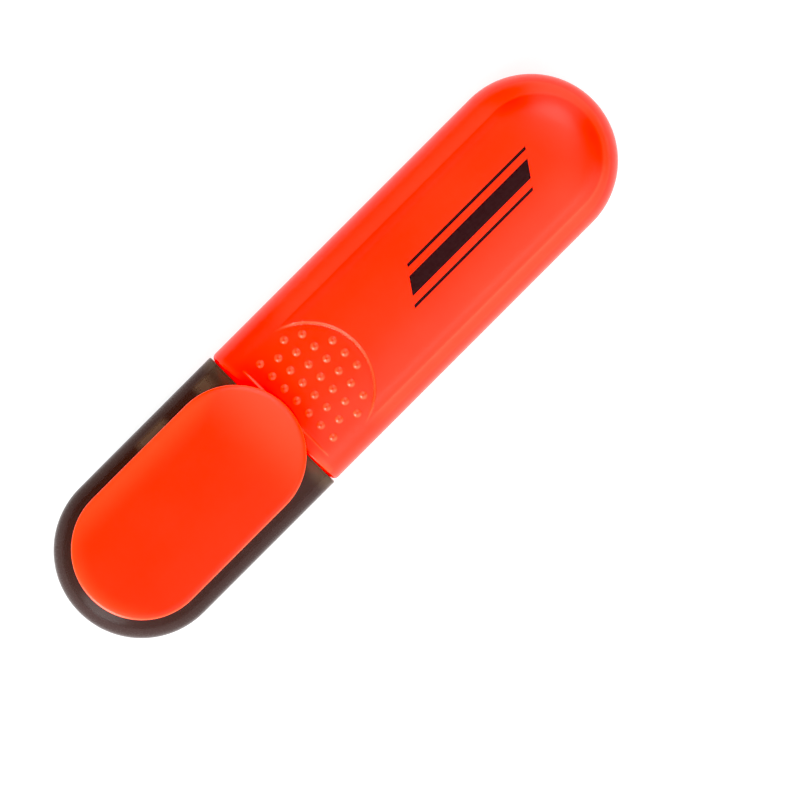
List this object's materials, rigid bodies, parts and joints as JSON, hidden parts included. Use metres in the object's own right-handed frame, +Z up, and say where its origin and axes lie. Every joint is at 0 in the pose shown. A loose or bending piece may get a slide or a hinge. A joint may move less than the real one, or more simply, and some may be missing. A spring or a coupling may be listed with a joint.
{
  "type": "highlighter pen",
  "caption": "Flat capped highlighter: round-ended barrel with a raised panel and dotted thumb rest, clear nozzle with a chisel nib, and a pull-off smoke cap with an oval pocket clip.",
  "frame": {"origin": "centre of the bounding box's base with the cap on, on the flat back of the pen", "axes": "+X along the pen from the cap's closed end to the barrel's closed end, +Y across it, +Z up from the flat back to the printed face"},
  "size_m": [0.1134, 0.0274, 0.0172],
  "materials": {
    "barrel_plastic": "satin",
    "clear_orange_plastic": "gloss",
    "nib_felt": "matte",
    "soaked_fibre": "matte",
    "clear_film": "gloss",
    "smoke_plastic": "satin",
    "dark_liner_plastic": "satin",
    "clip_plastic": "satin",
    "dark_print": "matte"
  },
  "bodies": {
    "pen": {"barrel": "barrel_plastic", "front_section": "clear_orange_plastic", "nib": "nib_felt", "ink_core": "soaked_fibre", "core_film": "clear_film"},
    "cap": {"cap_shell": "smoke_plastic", "inner_cap": "dark_liner_plastic", "clip_root": "clip_plastic"},
    "clip": {"clip_blade": "clip_plastic"}
  },
  "joints": [
    {"name": "cap_pull", "type": "slide", "parent": "pen", "child": "cap", "axis": [-1, 0, 0], "range_m": [0, 0.05]},
    {"name": "clip_flex", "type": "hinge", "parent": "cap", "child": "clip", "pos_m": [-0.0401, 0, 0.01725], "axis": [0, -1, 0], "range_deg": [0, 5], "stiffness_Nm_per_rad": 2}
  ]
}
